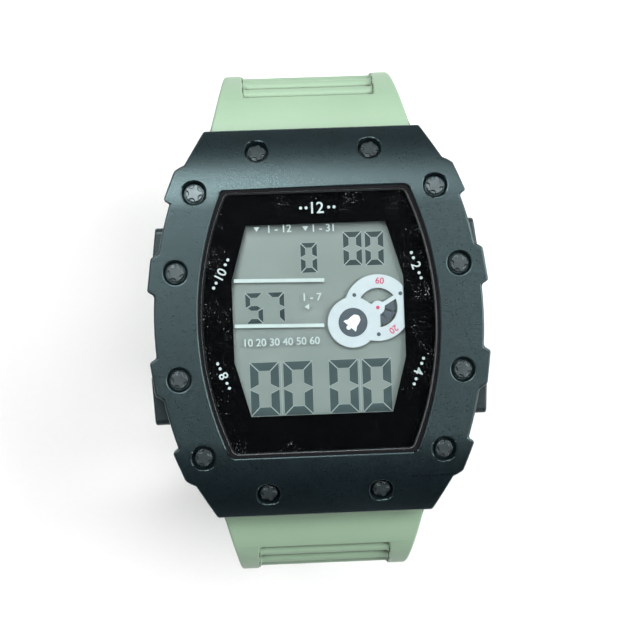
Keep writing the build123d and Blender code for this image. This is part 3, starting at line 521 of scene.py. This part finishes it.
def display_ground():
    """The liquid crystal's grey-green ground, with a painted shadow of the mask's edge under the window's top
    and left edges.
    """
    material, tree, surface = empty_material("display_glass")
    place = object_place(tree)
    clouds = spread(tree, noise(tree, place, display_cloud, soft_detail), 0.0, 1.0)
    tone = mixed(tree, clouds, (0.161, 0.213, 0.199, 1.0), (0.183, 0.231, 0.22, 1.0))
    axes = node(tree, "ShaderNodeSeparateXYZ", {"Vector": place})
    # Painted shadow of the mask's edge: a band under the window's top and one along its slanted left side
    top_painted_shadow = spread(tree, axes.outputs["Y"], 0.0, 0.85, window_top - painted_shadow_width, window_top)
    lean = calculated(tree, "MULTIPLY", axes.outputs["Y"], painted_shadow_lean_share)
    inwards = calculated(tree, "SUBTRACT", axes.outputs["X"], lean)
    left_painted_shadow = spread(tree, inwards, 0.8, 0.0, painted_shadow_side, painted_shadow_side + painted_shadow_side_width)
    # The display darkens towards this painted shadow colour in both bands
    tone = mixed(tree, calculated(tree, "MAXIMUM", top_painted_shadow, left_painted_shadow), tone, (0.055, 0.078, 0.075, 1.0))
    tree.links.new(tone, surface.inputs["Base Color"])
    speckle = noise(tree, place, display_grain, soft_detail)
    tree.links.new(spread(tree, speckle, 0.3, 0.38), surface.inputs["Roughness"])
    return material


def mirror_share(tree, straight):
    """The share of light that a clear face mirrors: this much straight on, and all at a grazing view."""
    facing = node(tree, "ShaderNodeLayerWeight", {"Blend": 0.5}).outputs["Facing"]
    grazing = calculated(tree, "POWER", facing, 5.0)
    return spread(tree, grazing, straight, 1.0, 0.0, 1.0)


def crystal_glass():
    """Clear crystal: it mirrors as glass does, with dust and scuffs that gather near its edges."""
    material, tree, surface = empty_material("crystal_glass")
    surface.inputs["Base Color"].default_value = (0.9, 0.95, 0.97, 1.0)
    surface.inputs["Metallic"].default_value = 1.0
    place = object_place(tree)
    dust = noise(tree, place, dust_size, dust_detail)
    scratch_place = object_place(tree, (1, scratch_stretch, 1), scratch_turn)
    scratches = noise(tree, scratch_place, scratch_length, soft_detail)
    hair_place = object_place(tree, (hair_stretch, 1, 1), hair_turn)
    hairs = noise(tree, hair_place, hair_length, soft_detail)
    areas = noise(tree, place, worn_area, soft_detail)
    axes = node(tree, "ShaderNodeSeparateXYZ", {"Vector": place})
    across = calculated(tree, "ABSOLUTE", axes.outputs["X"], 0.0)
    along = calculated(tree, "ABSOLUTE", axes.outputs["Y"], 0.0)
    worn_side = crystal_high.x * worn_side_share
    clean_side = crystal_high.x * clean_rim_share
    near_side = spread(tree, across, 0.0, 1.0, worn_side, clean_side)
    near_end = spread(tree, along, 0.0, 1.0, crystal_high.y * worn_end_share, crystal_high.y)
    edge = calculated(tree, "MAXIMUM", near_side, near_end)
    worn = calculated(tree, "MULTIPLY", edge, spread(tree, areas, 0.0, 1.0, 0.45, 0.7))
    specks = calculated(tree, "MULTIPLY", spread(tree, dust, 0.0, 0.4, 0.65, 0.74), worn)
    scratch_marks = spread(tree, scratches, 0.0, mark_share, mark_low, mark_high)
    hair_marks = spread(tree, hairs, 0.0, mark_share, mark_low, mark_high)
    lines = calculated(tree, "MAXIMUM", scratch_marks, hair_marks)
    lines = calculated(tree, "MULTIPLY", lines, spread(tree, areas, 0.05, 0.6, 0.5, 0.7))
    scuffs = calculated(tree, "MAXIMUM", specks, lines)
    mirrored = mirror_share(tree, crystal_mirror_share)
    normal = node(tree, "ShaderNodeNewGeometry").outputs["True Normal"]
    level = node(tree, "ShaderNodeSeparateXYZ", {"Vector": normal}).outputs["Z"]
    ground_edge = spread(tree, calculated(tree, "ABSOLUTE", level, 0.0), 0.2, 0.0, 0.6, 0.95)
    frosted = calculated(tree, "MAXIMUM", scuffs, ground_edge)
    tree.links.new(calculated(tree, "MAXIMUM", mirrored, frosted), surface.inputs["Alpha"])
    tree.links.new(spread(tree, frosted, 0.03, 0.6, 0.0, 0.2), surface.inputs["Roughness"])
    return material


def clear_film():
    """The clear film under the mask."""
    material, tree, surface = empty_material("clear_film")
    surface.inputs["Base Color"].default_value = (0.9, 0.93, 0.95, 1.0)
    surface.inputs["Metallic"].default_value = 1.0
    haze = noise(tree, object_place(tree), film_haze, soft_detail)
    tree.links.new(spread(tree, haze, 0.1, 0.2), surface.inputs["Roughness"])
    tree.links.new(mirror_share(tree, film_mirror_share), surface.inputs["Alpha"])
    return material


def brushed(name, colour, roughness, stretch=(1, brush_stretch, 1)):
    """Metal with fine brush lines."""
    return finish(
        name,
        colour,
        roughness,
        grain=metal_grain,
        relief=metal_relief,
        patch=resin_patch,
        rough_spread=0.08,
        shader={"Metallic": 1.0},
        stretch=stretch,
    )


def turned_steel():
    """Steel of the back cover, brushed in circles about its middle."""
    material, tree, surface = empty_material("turned_steel")
    place = object_place(tree)
    axes = node(tree, "ShaderNodeSeparateXYZ", {"Vector": place})
    plan = {"X": axes.outputs["X"], "Y": axes.outputs["Y"]}
    flat = node(tree, "ShaderNodeCombineXYZ", plan).outputs["Vector"]
    radius = node(tree, "ShaderNodeVectorMath", {0: flat}, operation="LENGTH").outputs["Value"]
    inputs = {"W": radius, "Scale": 1 / turning_pitch, "Detail": usual_detail}
    lines = node(tree, "ShaderNodeTexNoise", inputs, noise_dimensions="1D").outputs["Fac"]
    surface.inputs["Metallic"].default_value = 1.0
    tone = mixed(tree, lines, (0.42, 0.42, 0.43, 1.0), (0.62, 0.62, 0.63, 1.0))
    tree.links.new(tone, surface.inputs["Base Color"])
    tree.links.new(spread(tree, lines, 0.24, 0.4), surface.inputs["Roughness"])
    bump = node(tree, "ShaderNodeBump", {"Height": lines, "Distance": metal_relief, "Strength": 1.0})
    tree.links.new(bump.outputs["Normal"], surface.inputs["Normal"])
    return material


def module_plastic():
    """Pale plastic of the module's base and frame."""
    colour = (0.62, 0.61, 0.57)
    return finish("module_plastic", colour, 0.45, resin_grain, plastic_relief, mottling=0.06)


def board_laminate():
    """The circuit board's green laminate."""
    colour = (0.03, 0.16, 0.07)
    return finish("board_laminate", colour, 0.35, metal_grain, plastic_relief, mottling=0.2)


def slot_materials():
    """A finish for each of the record's material slots."""
    return {
        "bezel_resin": bezel_resin(),
        "band_resin": band_resin(),
        "black_screw": black_screw(),
        "crystal_glass": crystal_glass(),
        "black_rubber": black_rubber(),
        "clear_film": clear_film(),
        "mask_print": mask_print(),
        "figure_print": white_ink("figure_print", (0.371, 0.455, 0.475)),
        "display_glass": display_ground(),
        "reflector_film": brushed("reflector_film", (0.6, 0.62, 0.6), 0.35, (1, 1, 1)),
        "light_plate": white_ink("light_plate", (0.75, 0.8, 0.72), 0.3),
        "lamp_resin": white_ink("lamp_resin", (0.8, 0.75, 0.45), 0.25),
        "connector_rubber": finish("connector_rubber", (0.45, 0.45, 0.44), 0.6, resin_grain, plastic_relief),
        "module_plastic": module_plastic(),
        "board_laminate": board_laminate(),
        "chip_resin": finish("chip_resin", (0.006, 0.006, 0.007), 0.3, chip_grain, chip_relief, 0.3),
        "steel": brushed("steel", (0.5, 0.5, 0.51), 0.28),
        "polished_steel": brushed("polished_steel", (0.66, 0.66, 0.67), 0.14),
        "brass": brushed("brass", (0.62, 0.45, 0.2), 0.25),
        "pusher_resin": pusher_resin(),
        "strap_resin": strap_resin(),
    }


def shading(name, smooth):
    """A modifier's node group that shades every face smooth, or every face flat."""
    group = bpy.data.node_groups.new(name, "GeometryNodeTree")
    group.interface.new_socket("Geometry", in_out="INPUT", socket_type="NodeSocketGeometry")
    group.interface.new_socket("Geometry", in_out="OUTPUT", socket_type="NodeSocketGeometry")
    start = group.nodes.new("NodeGroupInput")
    shader = group.nodes.new("GeometryNodeSetShadeSmooth")
    end = group.nodes.new("NodeGroupOutput")
    shader.inputs["Shade Smooth"].default_value = smooth
    group.links.new(start.outputs[0], shader.inputs[0])
    group.links.new(shader.outputs[0], end.inputs[0])
    return group


def weld(target):
    """Joins the corners that a CAD node's mesh holds several times."""
    made = target.modifiers.new("weld", "WELD")
    made.merge_threshold = weld_distance


def shade(target, group):
    """Shades a CAD node's faces by a group, with normals that follow its larger faces."""
    made = target.modifiers.new("shade", "NODES")
    made.node_group = group
    normals = target.modifiers.new("normals", "WEIGHTED_NORMAL")
    normals.keep_sharp = True


def soften(name, width):
    """Rounds the edges of a CAD node with modifiers alone, as its mould or its tool rounds them."""
    target = nodes[name]
    weld(target)
    flatten = target.modifiers.new("flatten", "DECIMATE")
    flatten.decimate_type = "DISSOLVE"
    flatten.angle_limit = math.radians(flat_angle)
    bevel = target.modifiers.new("bevel", "BEVEL")
    bevel.width = width
    bevel.segments = rounding_steps
    bevel.limit_method = "ANGLE"
    bevel.angle_limit = math.radians(sharp_angle)
    bevel.use_clamp_overlap = False
    shade(target, smooth_group)


def draw_back(name):
    """Draws a clear CAD node's faces back by a hair, so that none lies in the face of the print beside it."""
    target = nodes[name]
    weld(target)
    displace = target.modifiers.new("draw_back", "DISPLACE")
    displace.strength = -face_gap
    displace.mid_level = 0.0
    shade(target, flat_group)


def piece(name, shape, material, body="case"):
    """A modelled piece from its bmesh, painted and riding on a body."""
    mesh = bpy.data.meshes.new(name)
    bmesh.ops.recalc_face_normals(shape, faces=shape.faces)
    shape.to_mesh(mesh)
    shape.free()
    mesh.materials.append(material)
    made = bpy.data.objects.new(name, mesh)
    bpy.context.scene.collection.objects.link(made)
    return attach(made, body)


def coil_spring(name):
    """A pusher's coil about the X axis, in its CAD node's place."""
    low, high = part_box(f"{name}_spring")
    middle = (low + high) / 2
    coil_radius = (high.z - low.z) / 2 - spring_wire_radius
    start = low.x + spring_wire_radius
    run = high.x - low.x - 2 * spring_wire_radius
    steps = spring_turns * turn_steps
    shape = bmesh.new()
    rings = []
    for step in range(steps + 1):
        angle = math.tau * step / turn_steps
        outwards = Vector((0, math.cos(angle), math.sin(angle)))
        centre = Vector((start + run * step / steps, middle.y, middle.z)) + outwards * coil_radius
        ring = []
        for across, along in circle(spring_wire_radius, wire_corners):
            ring.append(shape.verts.new(centre + outwards * across + Vector((along, 0, 0))))
        rings.append(ring)
    for first, second in zip(rings, rings[1:]):
        for index in range(wire_corners):
            beside = (index + 1) % wire_corners
            shape.faces.new((first[index], first[beside], second[beside], second[index]))
    shape.faces.new(rings[0])
    shape.faces.new(rings[-1])
    coil = piece(f"{name}_coil", shape, materials["steel"])
    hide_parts(f"{name}_spring")
    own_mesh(coil)


def add_plate(shape, points, low, thickness=ink_thickness):
    """Adds a thin plate with this outline, standing on a height."""
    bottom = [shape.verts.new((x, y, low)) for x, y in points]
    top = [shape.verts.new((x, y, low + thickness)) for x, y in points]
    shape.faces.new(bottom[::-1])
    shape.faces.new(top)
    for index, corner in enumerate(bottom):
        beside = (index + 1) % len(points)
        shape.faces.new((corner, bottom[beside], top[beside], top[index]))


def moved(points, place, turn=0.0):
    """Points turned about the origin and carried to a place."""
    cosine = math.cos(math.radians(turn))
    sine = math.sin(math.radians(turn))
    return [(place[0] + x * cosine - y * sine, place[1] + x * sine + y * cosine) for x, y in points]


def rectangle(width, height):
    """A rectangle about the origin."""
    x = width / 2
    y = height / 2
    return [(-x, -y), (x, -y), (x, y), (-x, y)]


def arc(radius, start, end, count=round_points):
    """Points along an arc about the origin."""
    angles = [math.radians(start + (end - start) * step / count) for step in range(count + 1)]
    return [(radius * math.cos(angle), radius * math.sin(angle)) for angle in angles]


def circle(radius, count=round_points):
    """A full circle about the origin."""
    return arc(radius, 0, 360, count)[:-1]


def add_number(shape, text, height, place, low, turn=0.0):
    """Adds plain numbers in the built-in type, centred on a place."""
    curve = bpy.data.curves.new("number", "FONT")
    curve.body = text
    curve.extrude = ink_thickness
    curve.offset = number_weight
    holder = bpy.data.objects.new("number", curve)
    bpy.context.scene.collection.objects.link(holder)
    bpy.context.view_layer.update()
    mesh = bpy.data.meshes.new_from_object(holder.evaluated_get(bpy.context.evaluated_depsgraph_get()))
    corners = [vertex.co.copy() for vertex in mesh.vertices]
    low_corner = Vector(min(corner[axis] for corner in corners) for axis in range(3))
    high_corner = Vector(max(corner[axis] for corner in corners) for axis in range(3))
    size = height / (high_corner.y - low_corner.y)
    middle = (low_corner + high_corner) / 2
    deep = ink_thickness / (high_corner.z - low_corner.z)
    centre = Matrix.Translation(-Vector((middle.x, middle.y, low_corner.z)))
    scale = Matrix.Diagonal((size, size, deep, 1))
    carry = Matrix.Translation((place[0], place[1], low)) @ Matrix.Rotation(math.radians(turn), 4, "Z")
    mesh.transform(carry @ scale @ centre)
    shape.from_mesh(mesh)
    bpy.data.objects.remove(holder)
    bpy.data.curves.remove(curve)
    bpy.data.meshes.remove(mesh)
    return (high_corner.x - low_corner.x) * size


# The bars that are dark in each digit: top, upper right, lower right, bottom, lower left, upper left, middle
digit_bars = {"0": "abcdef", "5": "afgcd", "7": "abc"}


def segment_outlines(width, height, bar, gap):
    """The seven bars of a digit about the origin: long outer edges, short inner ones."""
    half_width = width / 2
    half_height = height / 2
    slit = gap / math.sqrt(2)
    inner_x = half_width - bar
    inner_y = half_height - bar
    top = [
        (-half_width + slit, half_height),
        (half_width - slit, half_height),
        (inner_x - slit, inner_y),
        (-inner_x + slit, inner_y),
    ]
    side = [
        (half_width, half_height - slit),
        (half_width, slit),
        (inner_x, bar / 2 + slit),
        (inner_x, inner_y - slit),
    ]
    middle = [
        (-half_width + bar / 2, 0),
        (-inner_x + slit, bar / 2),
        (inner_x - slit, bar / 2),
        (half_width - bar / 2, 0),
        (inner_x - slit, -bar / 2),
        (-inner_x + slit, -bar / 2),
    ]
    return {
        "a": top,
        "b": side,
        "c": [(x, -y) for x, y in side],
        "d": [(x, -y) for x, y in top],
        "e": [(-x, -y) for x, y in side],
        "f": [(-x, y) for x, y in side],
        "g": middle,
    }


def add_digit(dark, halo, digit, place, width, height, bar):
    """Adds a digit's dark bars, and the lighter edge that surrounds them."""
    bars = segment_outlines(width, height, bar, segment_gap)
    for name in digit_bars[digit]:
        add_plate(dark, moved(bars[name], place), display_top + ink_gap + ink_thickness)
    wide = segment_outlines(width + 2 * halo_reach, height + 2 * halo_reach, bar + 2 * halo_reach, 0)
    for name in digit_bars[digit]:
        add_plate(halo, moved(wide[name], place), display_top + ink_gap)


def display_digits():
    """All the liquid crystal's digits, as dark bars on a lighter edge."""
    dark = bmesh.new()
    small = bmesh.new()
    halo = bmesh.new()
    for column in big_digit_columns:
        place = (column, big_digit_row)
        add_digit(dark, halo, "0", place, big_digit_width, big_digit_height, big_digit_bar)
    for place in date_digit_places:
        add_digit(small, halo, "0", place, date_digit_width, date_digit_height, date_digit_bar)
    add_digit(small, halo, "0", month_digit_place, month_digit_width, month_digit_height, small_digit_bar)
    for digit, place in zip("57", day_digit_places):
        add_digit(small, halo, digit, place, day_digit_width, day_digit_height, small_digit_bar)
    for left, right in (big_digit_columns[:2], big_digit_columns[2:]):
        between = ((left + right) / 2, big_digit_row)
        add_plate(halo, moved(rectangle(pair_line_width, big_digit_height), between), display_top + ink_gap)
    piece("display_digits", dark, white_ink("crystal_dark", (0.027, 0.054, 0.057), 0.4))
    piece("display_day", small, white_ink("crystal_black", (0.014, 0.034, 0.037), 0.4))
    piece("display_halo", halo, white_ink("crystal_light", (0.26, 0.33, 0.32), 0.4))


def arrow(size, turn):
    """A small solid arrow head, pointing down before it is turned."""
    base = size * arrow_base_share
    return moved([(-size / 2, base), (size / 2, base), (0, -size * arrow_tip_share)], (0, 0), turn)


def film_print():
    """White bars, arrows and numbers on the clear film."""
    shape = bmesh.new()
    low = film_top + ink_gap
    add_plate(shape, moved(rectangle(upper_bar_length, bar_width), upper_bar, bar_turn), low)
    add_plate(shape, moved(rectangle(lower_bar_length, bar_width), lower_bar, bar_turn), low)
    add_plate(shape, moved(arrow(arrow_size, 0), month_arrow), low)
    add_plate(shape, moved(arrow(arrow_size, 0), date_arrow), low)
    add_plate(shape, moved(arrow(arrow_size, -90), week_arrow), low)
    add_number(shape, "1 - 12", small_number_height, month_number, low)
    add_number(shape, "1 - 31", small_number_height, date_number, low)
    add_number(shape, "1 - 7", small_number_height, week_number, low)
    add_number(shape, "10 20 30 40 50 60", small_number_height, scale_numbers, low)
    piece("film_print", shape, white_ink("white_print", (0.37, 0.473, 0.462)))


def add_flanked_number(shape, text, height, place, low, turn):
    """Adds a number with a row of dots on each side of it, in line with its turn."""
    width = add_number(shape, text, height, place, low, turn)
    for side in (-1, 1):
        for index in range(print_dot_count):
            offset = side * (width / 2 + print_dot_clearance + index * print_dot_pitch)
            dot = [(x + offset, y) for x, y in circle(print_dot)]
            add_plate(shape, moved(dot, place, turn), low)


def mask_numbers():
    """The hour numbers on the mask, behind the crystal."""
    shape = bmesh.new()
    low = mask_top + ink_gap - ink_thickness
    add_flanked_number(shape, "12", mask_number_height, top_number, low, 0)
    for text, place, turn in side_numbers:
        add_flanked_number(shape, text, side_number_height, place, low, turn)
    piece("mask_numbers", shape, white_ink("mask_white", (0.37, 0.458, 0.462)))


def bell_outline():
    """A bell about the origin, its crown up."""
    right = [(x * bell_height, y * bell_height) for x, y in bell_profile_shares]
    return right + [(-x, y) for x, y in reversed(right[1:])]


def figure_details():
    """What is printed on and behind the white figure: dots, numbers, the fan and the bell."""
    red = bmesh.new()
    low = figure_top + ink_gap
    add_plate(red, moved(circle(hub_dot), ring_centre), low)
    for text, angle in ring_numbers:
        spot = moved([(ring_number_radius, 0)], ring_centre, angle)[0]
        add_number(red, text, ring_number_height, spot, low, angle - 90)
    piece("figure_red", red, white_ink("red_print", (0.42, 0.03, 0.1)))

    dark = bmesh.new()
    for angle in rim_dot_angles:
        spot = moved([(rim_dot_radius, 0)], ring_centre, angle)[0]
        add_plate(dark, moved(circle(rim_dot), spot), low)
    back = figure_top - figure_depth
    for start, end in zip(fan_edges, fan_edges[1:]):
        blade = arc(fan_outer, start + fan_gap_angle, end - fan_gap_angle)
        blade += arc(fan_inner, end - fan_gap_angle, start + fan_gap_angle)
        add_plate(dark, moved(blade, ring_centre), back)
    add_plate(dark, moved(circle(disc_window), disc_centre), back)
    piece("figure_dark", dark, white_ink("dark_print", (0.04, 0.06, 0.075)))

    bell = bmesh.new()
    bell_low = back + ink_thickness + ink_gap
    add_plate(bell, moved(bell_outline(), disc_centre, bell_turn), bell_low)
    clapper = moved([(0, clapper_drop_share * bell_height)], disc_centre, bell_turn)[0]
    add_plate(bell, moved(circle(clapper_share * bell_height), clapper), bell_low)
    piece("figure_bell", bell, white_ink("bell_print", (0.6, 0.68, 0.7)))


def floor():
    """A plain pale floor under the object."""
    shape = bmesh.new()
    bmesh.ops.create_grid(shape, x_segments=1, y_segments=1, size=floor_reach)
    mesh = bpy.data.meshes.new("floor")
    shape.to_mesh(mesh)
    shape.free()
    paper = finish("floor_paper", (0.95, 0.95, 0.95), 0.8, floor_grain, plastic_relief, 0.01, floor_patch)
    mesh.materials.append(paper)
    made = bpy.data.objects.new("floor", mesh)
    bpy.context.scene.collection.objects.link(made)


def softbox(name, lean, heading, distance, width, height, power, mirrored):
    """A soft area light that leans from the vertical towards a heading, counted from +X."""
    light = bpy.data.lights.new(name, "AREA")
    light.shape = "RECTANGLE"
    light.size = width
    light.size_y = height
    light.energy = power
    made = bpy.data.objects.new(name, light)
    bpy.context.scene.collection.objects.link(made)
    lean_angle = math.radians(lean)
    heading_angle = math.radians(heading)
    flat = math.sin(lean_angle)
    way = Vector((flat * math.cos(heading_angle), flat * math.sin(heading_angle), math.cos(lean_angle)))
    made.location = look_at + way * distance
    made.visible_glossy = mirrored
    made.rotation_mode = "QUATERNION"
    made.rotation_quaternion = way.to_track_quat("Z", "Y")


def lights():
    """Soft studio light: a key from the upper left, one from the side, a wash from above, and a room.

    The room lights the object by its walls, and is evenly pale only where the camera sees it directly."""
    for name, setting in softboxes.items():
        softbox(name, *setting)
    world = bpy.data.worlds.new("room")
    bpy.context.scene.world = world
    world.use_nodes = True
    tree = world.node_tree
    way = node(tree, "ShaderNodeTexCoord").outputs["Generated"]
    axes = node(tree, "ShaderNodeSeparateXYZ", {"Vector": way})
    wall = spread(tree, axes.outputs["Y"], near_wall_share, far_wall_share, -wall_turn_share, wall_turn_share)
    sideways = calculated(tree, "ABSOLUTE", axes.outputs["X"], 0.0)
    side_wall = spread(tree, sideways, 0.0, side_wall_share, side_wall_start, 1.0)
    wall = calculated(tree, "MAXIMUM", wall, side_wall)
    level = spread(tree, axes.outputs["Z"], wall_strength, ceiling_strength, wall_height, ceiling_height)
    strength = calculated(tree, "MULTIPLY", wall, level)
    seen = node(tree, "ShaderNodeLightPath").outputs["Is Camera Ray"]
    strength = calculated(tree, "MAXIMUM", strength, calculated(tree, "MULTIPLY", seen, backdrop_strength))
    background = tree.nodes["Background"]
    background.inputs["Color"].default_value = room_colour
    tree.links.new(strength, background.inputs["Strength"])


def camera():
    """The photograph's camera, above the dial and a little to its left and towards twelve o'clock."""
    data = bpy.data.cameras.new("camera")
    data.sensor_width = sensor_width / mm
    data.lens = sensor_width / mm * camera_distance / field_width
    data.clip_start = clip_start
    data.clip_end = clip_end
    made = bpy.data.objects.new("camera", data)
    bpy.context.scene.collection.objects.link(made)
    left = math.sin(math.radians(camera_left_lean))
    rise = math.sin(math.radians(camera_rise_lean))
    back = Vector((-left, rise, math.sqrt(1 - left**2 - rise**2)))
    roll = math.radians(camera_roll)
    up = Vector((math.sin(roll), math.cos(roll), 0))
    side = up.cross(back).normalized()
    true_up = back.cross(side)
    turn = Matrix((side, true_up, back)).transposed()
    made.matrix_world = Matrix.Translation(look_at + back * camera_distance) @ turn.to_4x4()
    bpy.context.scene.camera = made


materials = slot_materials()
smooth_group = shading("shade_smooth", True)
flat_group = shading("shade_flat", False)
for name, target in nodes.items():
    slot_name = target.material_slots[0].material.name.split(".")[0]
    target.material_slots[0].material = materials[slot_name]
nodes["back_cover"].material_slots[0].material = turned_steel()

roundings = [
    (bezel_round, ["bezel"]),
    (band_round, ["case_band"]),
    (pusher_round, [f"{name}_pusher" for name in pusher_names]),
    (screw_round, ["bezel_screws", "bezel_short_screws", "back_screws"]),
    (strap_round, ["strap_upper", "strap_lower"]),
    (keeper_round, ["fixed_keeper", "free_keeper"]),
    (buckle_round, ["buckle_frame", "buckle_tongue"]),
    (cover_round, ["back_cover"]),
]
for width, names in roundings:
    for name in names:
        soften(name, width)

for name in ("crystal", "dial_film"):
    draw_back(name)

for name in pusher_names:
    coil_spring(name)

display_digits()
film_print()
mask_numbers()
figure_details()
floor()
lights()
camera()
bpy.context.scene.view_settings.view_transform = "Standard"
